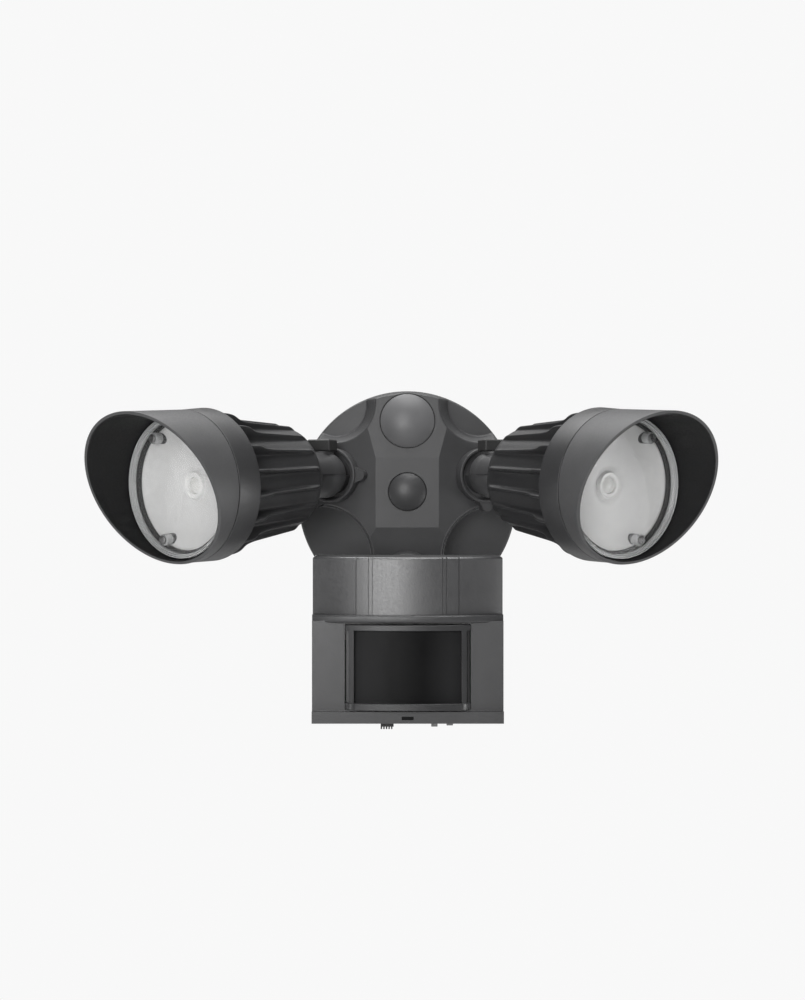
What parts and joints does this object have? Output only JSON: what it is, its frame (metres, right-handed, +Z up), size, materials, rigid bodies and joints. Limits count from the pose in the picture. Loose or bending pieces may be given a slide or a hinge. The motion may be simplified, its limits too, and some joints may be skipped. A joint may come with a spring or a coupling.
{
  "type": "motion sensor security light",
  "caption": "Wall light with finned LED lamp heads on locking swivels, hooded visors and a tilting infrared motion sensor under a round canopy.",
  "frame": {"origin": "centre of the canopy on the wall face", "axes": "+Z up, +Y into the wall, +X to the right as seen from in front of the wall; the light faces -Y"},
  "size_m": [0.3059, 0.1644, 0.1747],
  "materials": {
    "dark_coating": "dark bronze-grey powder coat, fine texture",
    "dark_plastic": "matte dark grey, fine texture",
    "inner_plastic": "moulded",
    "plated_steel": "zinc plated",
    "dark_steel": "black oxide",
    "green_steel": "green passivated",
    "bare_aluminium": "milled",
    "board": "white solder mask",
    "green_board": "green solder mask",
    "reflector_white": "satin white",
    "clear": "clear",
    "dark_lens": "dark, slightly glossy",
    "black_rubber": "soft",
    "grey_foam": "closed-cell foam",
    "potting": "potted",
    "nylon": "nylon",
    "grey_plastic": "matte",
    "black_plastic": "matte"
  },
  "bodies": {
    "canopy": {"canopy_housing": "dark_coating", "canopy_gasket": "grey_foam", "mounting_strap": "plated_steel", "centre_screw": "plated_steel", "centre_screw_cap": "black_rubber", "ground_screw": "green_steel", "port_plug": "dark_coating", "port_seals": "black_rubber"},
    "left_lock_ring": {"left_lock_ring": "dark_coating"},
    "left_stem": {"left_knuckle_stem": "dark_coating", "left_pivot_screw": "dark_steel"},
    "left_head": {"left_knuckle_arm": "dark_coating", "left_heat_sink": "dark_coating", "left_arm_nut": "plated_steel", "left_led_driver": "potting", "left_led_carrier": "bare_aluminium", "left_led_board": "board", "left_led_lens": "clear", "left_reflector": "reflector_white", "left_lens_seal": "black_rubber", "left_lens": "clear", "left_lens_screws": "plated_steel"},
    "left_visor": {"left_visor": "dark_coating"},
    "right_lock_ring": {"right_lock_ring": "dark_coating"},
    "right_stem": {"right_knuckle_stem": "dark_coating", "right_pivot_screw": "dark_steel"},
    "right_head": {"right_knuckle_arm": "dark_coating", "right_heat_sink": "dark_coating", "right_arm_nut": "plated_steel", "right_led_driver": "potting", "right_led_carrier": "bare_aluminium", "right_led_board": "board", "right_led_lens": "clear", "right_reflector": "reflector_white", "right_lens_seal": "black_rubber", "right_lens": "clear", "right_lens_screws": "plated_steel"},
    "right_visor": {"right_visor": "dark_coating"},
    "sensor_lock_ring": {"sensor_lock_ring": "dark_coating"},
    "sensor_stem": {"sensor_stem": "dark_coating"},
    "sensor_liner": {"sensor_ball_liner": "nylon"},
    "sensor_case": {"sensor_back_cover": "dark_plastic", "sensor_clamp_plate": "plated_steel", "sensor_clamp_screws": "plated_steel", "sensor_case_screws": "dark_steel", "sensor_front": "dark_plastic", "sensor_lens_frame": "dark_plastic", "sensor_lens": "dark_lens", "sensor_main_board": "green_board", "sensor_pyro_can": "plated_steel", "sensor_relay": "inner_plastic", "sensor_control_board": "green_board", "sensor_switch_body": "inner_plastic", "sensor_trimmers": "inner_plastic", "sensor_photocell": "inner_plastic", "indicator_window": "dark_lens"},
    "time_switch": {"time_switch": "black_plastic"},
    "range_dial": {"range_dial": "grey_plastic"},
    "light_level_dial": {"light_level_dial": "grey_plastic"}
  },
  "joints": [
    {"name": "left_ring_turn", "type": "hinge", "parent": "canopy", "child": "left_lock_ring", "pos_m": [-0.0449, -0.04359, 0.0132], "axis": [-0.3665, -0.9304, 0], "range_deg": [0, 90]},
    {"name": "left_stem_swivel", "type": "hinge", "parent": "canopy", "child": "left_stem", "pos_m": [-0.0449, -0.04359, 0.0132], "axis": [-0.3665, -0.9304, 0], "range_deg": [-60, 60]},
    {"name": "left_head_turn", "type": "hinge", "parent": "left_stem", "child": "left_head", "pos_m": [-0.0449, -0.04359, 0.0132], "axis": [0, 0, 1], "range_deg": [-36.2, 58.8]},
    {"name": "left_visor_turn", "type": "hinge", "parent": "left_head", "child": "left_visor", "pos_m": [-0.10944, -0.11969, 0.00657], "axis": [-0.6454, -0.761, -0.0663], "range_deg": [-60, 60]},
    {"name": "right_ring_turn", "type": "hinge", "parent": "canopy", "child": "right_lock_ring", "pos_m": [0.0449, -0.04359, 0.0132], "axis": [0.3665, -0.9304, 0], "range_deg": [0, 90]},
    {"name": "right_stem_swivel", "type": "hinge", "parent": "canopy", "child": "right_stem", "pos_m": [0.0449, -0.04359, 0.0132], "axis": [0.3665, -0.9304, 0], "range_deg": [-60, 60]},
    {"name": "right_head_turn", "type": "hinge", "parent": "right_stem", "child": "right_head", "pos_m": [0.0449, -0.04359, 0.0132], "axis": [0, 0, 1], "range_deg": [-53.7, 41.3]},
    {"name": "right_visor_turn", "type": "hinge", "parent": "right_head", "child": "right_visor", "pos_m": [0.10242, -0.12512, 0.00657], "axis": [0.5752, -0.8153, -0.0663], "range_deg": [-60, 60]},
    {"name": "sensor_ring_turn", "type": "hinge", "parent": "canopy", "child": "sensor_lock_ring", "pos_m": [0, -0.04672, -0.04467], "axis": [0, -0.9724, -0.2334], "range_deg": [0, 90]},
    {"name": "sensor_stem_swivel", "type": "hinge", "parent": "canopy", "child": "sensor_stem", "pos_m": [0, -0.04672, -0.04467], "axis": [0, -0.9724, -0.2334], "range_deg": [-15, 15]},
    {"name": "sensor_pan", "type": "hinge", "parent": "sensor_stem", "child": "sensor_liner", "pos_m": [0, -0.04672, -0.04467], "axis": [0, 0, 1], "range_deg": [-22, 22]},
    {"name": "sensor_tilt", "type": "hinge", "parent": "sensor_liner", "child": "sensor_case", "pos_m": [0, -0.04672, -0.04467], "axis": [1, 0, 0], "range_deg": [-10, 28]},
    {"name": "time_switch_slide", "type": "slide", "parent": "sensor_case", "child": "time_switch", "axis": [1, 0, 0], "range_m": [-0.004, 0.004]},
    {"name": "range_dial_turn", "type": "hinge", "parent": "sensor_case", "child": "range_dial", "pos_m": [0.0134, -0.09, -0.1087], "axis": [0, 0, 1], "range_deg": [-135, 135]},
    {"name": "light_level_dial_turn", "type": "hinge", "parent": "sensor_case", "child": "light_level_dial", "pos_m": [0.0211, -0.09, -0.1087], "axis": [0, 0, 1], "range_deg": [-135, 135]}
  ]
}
